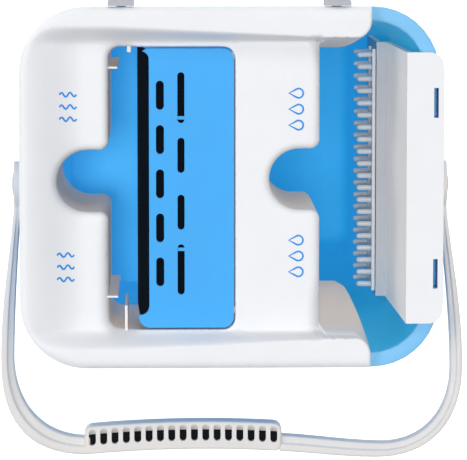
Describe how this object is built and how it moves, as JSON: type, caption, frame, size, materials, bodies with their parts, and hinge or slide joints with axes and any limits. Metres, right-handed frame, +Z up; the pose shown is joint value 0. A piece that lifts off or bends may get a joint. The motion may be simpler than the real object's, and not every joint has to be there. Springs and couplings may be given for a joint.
{
  "type": "wet and dry flat mop bucket",
  "caption": "Tall two-slot flat mop bucket with a washing slot and comb, a squeezing slot with a sprung scraper plate, a lift-off cover and a bail handle.",
  "frame": {"origin": "middle of the tub's flat underside, on the floor", "axes": "+Z up, +X towards the washing slot, +Y towards the rear latches; the bail lies forward over -Y"},
  "size_m": [0.254, 0.2519, 0.366],
  "materials": {
    "tub_blue": "moulded polypropylene, medium blue, satin",
    "plate_blue": "moulded polypropylene, light blue, satin",
    "cover_white": "moulded ABS, off-white, fine satin texture",
    "comb_grey": "moulded polypropylene, light grey",
    "backing_black": "moulded polypropylene, black",
    "scraper_rubber": "extruded black rubber, matt",
    "pad_rubber": "die-cut grey rubber pads",
    "grip_rubber": "moulded dark grey soft plastic",
    "spring_steel": "drawn steel wire, bright",
    "latch_grey": "moulded acetal, light grey"
  },
  "bodies": {
    "bucket": {"tub": "tub_blue", "dry_basin": "plate_blue", "base_pad_front_left": "pad_rubber", "base_pad_front_right": "pad_rubber", "base_pad_rear_left": "pad_rubber", "base_pad_rear_right": "pad_rubber", "bail_pin_left": "latch_grey", "bail_pin_right": "latch_grey", "latch_pin_left": "spring_steel", "latch_pin_right": "spring_steel"},
    "cover": {"cover": "cover_white", "plate_hinge_pin": "spring_steel", "plate_spring_rear": "spring_steel", "plate_spring_front": "spring_steel"},
    "squeezer": {"slotted_plate": "plate_blue", "plate_backing": "backing_black", "scraper_strip": "scraper_rubber"},
    "comb": {"comb_block": "cover_white", "comb_strip_upper": "comb_grey", "comb_strip_lower": "comb_grey"},
    "bail": {"bail": "cover_white", "grip_insert": "grip_rubber"},
    "latch_left": {"latch_left": "latch_grey"},
    "latch_right": {"latch_right": "latch_grey"}
  },
  "joints": [
    {"name": "bail_swing", "type": "hinge", "parent": "bucket", "child": "bail", "pos_m": [0.001, 0, 0.334], "axis": [-1, 0, 0], "range_deg": [0, 180]},
    {"name": "cover_lift", "type": "slide", "parent": "bucket", "child": "cover", "axis": [0, 0, 1], "range_m": [0, 0.13]},
    {"name": "comb_lift", "type": "slide", "parent": "bucket", "child": "comb", "axis": [0, 0, 1], "range_m": [0, 0.21]},
    {"name": "squeeze_swing", "type": "hinge", "parent": "cover", "child": "squeezer", "pos_m": [-0.0015, 0, 0.3453], "axis": [0, -1, 0], "range_deg": [0, 7], "stiffness_Nm_per_rad": 2, "springref_deg": -11.46},
    {"name": "latch_left_swing", "type": "hinge", "parent": "bucket", "child": "latch_left", "pos_m": [-0.058, 0.0996, 0.349], "axis": [-1, 0, 0], "range_deg": [0, 35]},
    {"name": "latch_right_swing", "type": "hinge", "parent": "bucket", "child": "latch_right", "pos_m": [0.058, 0.0996, 0.349], "axis": [-1, 0, 0], "range_deg": [0, 35]}
  ]
}
